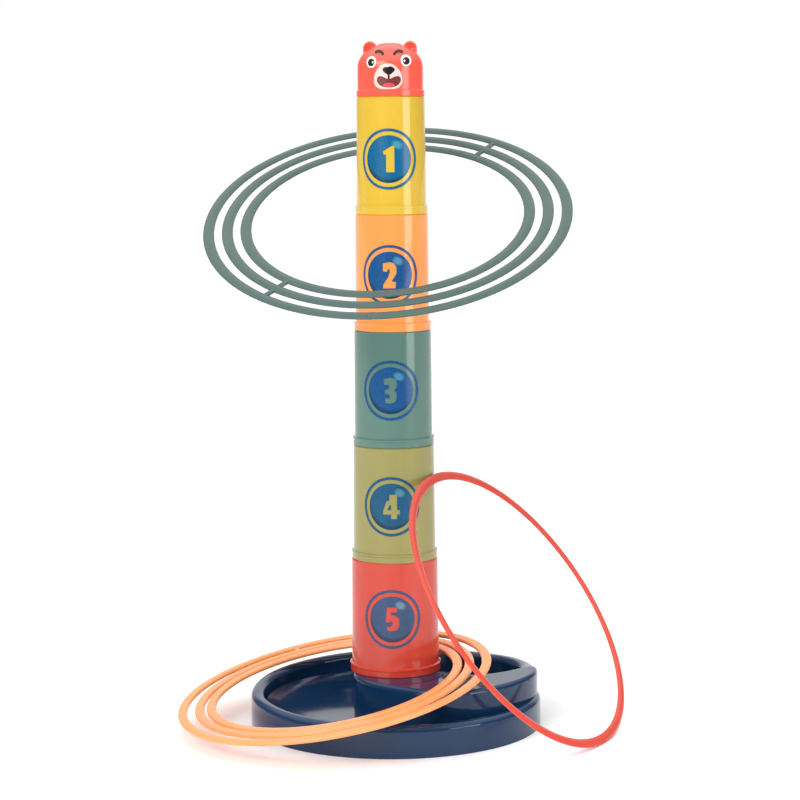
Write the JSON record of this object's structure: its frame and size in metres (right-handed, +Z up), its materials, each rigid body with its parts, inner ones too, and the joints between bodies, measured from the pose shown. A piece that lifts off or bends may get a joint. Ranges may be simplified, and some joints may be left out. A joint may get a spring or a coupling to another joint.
{
  "type": "ring toss set",
  "caption": "Ring toss set: a tower of stacking number cups with a bear cap on a round tray, with nested flat rings to toss over it.",
  "frame": {"origin": "centre of the tray's underside, on the tower's axis", "axes": "+Z up the tower's axis; the numbers and the bear's face look along -Y; +X is to the right of someone facing them"},
  "size_m": [0.2685, 0.2138, 0.4101],
  "materials": {
    "tray_navy": "glossy moulded plastic",
    "bear_coral": "glossy moulded plastic",
    "cup_yellow": "glossy moulded plastic",
    "cup_orange": "glossy moulded plastic",
    "cup_teal": "glossy moulded plastic",
    "cup_khaki": "glossy moulded plastic",
    "cup_red": "glossy moulded plastic",
    "badge_blue": "printed ink under gloss",
    "paint_white": "printed ink under gloss",
    "paint_brown": "printed ink under gloss",
    "paint_black": "printed ink under gloss",
    "paint_pink": "printed ink under gloss",
    "paint_maroon": "printed ink under gloss",
    "paint_rose": "printed ink under gloss",
    "ring_green": "glossy moulded plastic",
    "ring_orange": "glossy moulded plastic",
    "ring_red": "glossy moulded plastic"
  },
  "bodies": {
    "tray": {"base_tray": "tray_navy"},
    "cup_5": {"cup_5": "cup_red", "badge_5_band": "badge_blue", "badge_5_disc": "badge_blue"},
    "cup_4": {"cup_4": "cup_khaki", "badge_4_band": "badge_blue", "badge_4_disc": "badge_blue"},
    "cup_3": {"cup_3": "cup_teal", "badge_3_band": "badge_blue", "badge_3_disc": "badge_blue"},
    "cup_2": {"cup_2": "cup_orange", "badge_2_band": "badge_blue", "badge_2_disc": "badge_blue"},
    "cup_1": {"cup_1": "cup_yellow", "badge_1_band": "badge_blue", "badge_1_disc": "badge_blue"},
    "bear_cap": {"bear_cap": "bear_coral", "bear_eye_whites": "paint_white", "bear_pupils": "paint_brown", "bear_brows": "paint_black", "bear_muzzle": "paint_pink", "bear_nose": "paint_black", "bear_mouth": "paint_maroon", "bear_tongue": "paint_rose"},
    "green_rings": {"green_ring_inner": "ring_green", "green_ring_middle": "ring_green", "green_ring_outer": "ring_green", "green_ring_tabs": "ring_green"},
    "orange_rings": {"orange_ring_inner": "ring_orange", "orange_ring_middle": "ring_orange", "orange_ring_outer": "ring_orange", "orange_ring_tabs": "ring_orange"},
    "red_ring": {"red_ring": "ring_red"}
  },
  "joints": [
    {"name": "cup_5_lift", "type": "slide", "parent": "tray", "child": "cup_5", "axis": [0, 0, 1], "range_m": [0, 0.03]},
    {"name": "cup_4_lift", "type": "slide", "parent": "cup_5", "child": "cup_4", "axis": [0, 0, 1], "range_m": [0, 0.03]},
    {"name": "cup_3_lift", "type": "slide", "parent": "cup_4", "child": "cup_3", "axis": [0, 0, 1], "range_m": [0, 0.03]},
    {"name": "cup_2_lift", "type": "slide", "parent": "cup_3", "child": "cup_2", "axis": [0, 0, 1], "range_m": [0, 0.03]},
    {"name": "cup_1_lift", "type": "slide", "parent": "cup_2", "child": "cup_1", "axis": [0, 0, 1], "range_m": [0, 0.03]},
    {"name": "bear_cap_lift", "type": "slide", "parent": "cup_1", "child": "bear_cap", "axis": [0, 0, 1], "range_m": [0, 0.03]},
    {"name": "green_rings_toss", "type": "slide", "parent": "tray", "child": "green_rings", "axis": [0, 0, 1], "range_m": [-0.09, 0.17]},
    {"name": "orange_rings_lift", "type": "slide", "parent": "tray", "child": "orange_rings", "axis": [0, 0, 1], "range_m": [0, 0.02]},
    {"name": "red_ring_tip", "type": "hinge", "parent": "tray", "child": "red_ring", "pos_m": [0.1257, -0.04763, 0.00113], "axis": [0.3972, 0.9178, 0], "range_deg": [0, 125.6]}
  ]
}
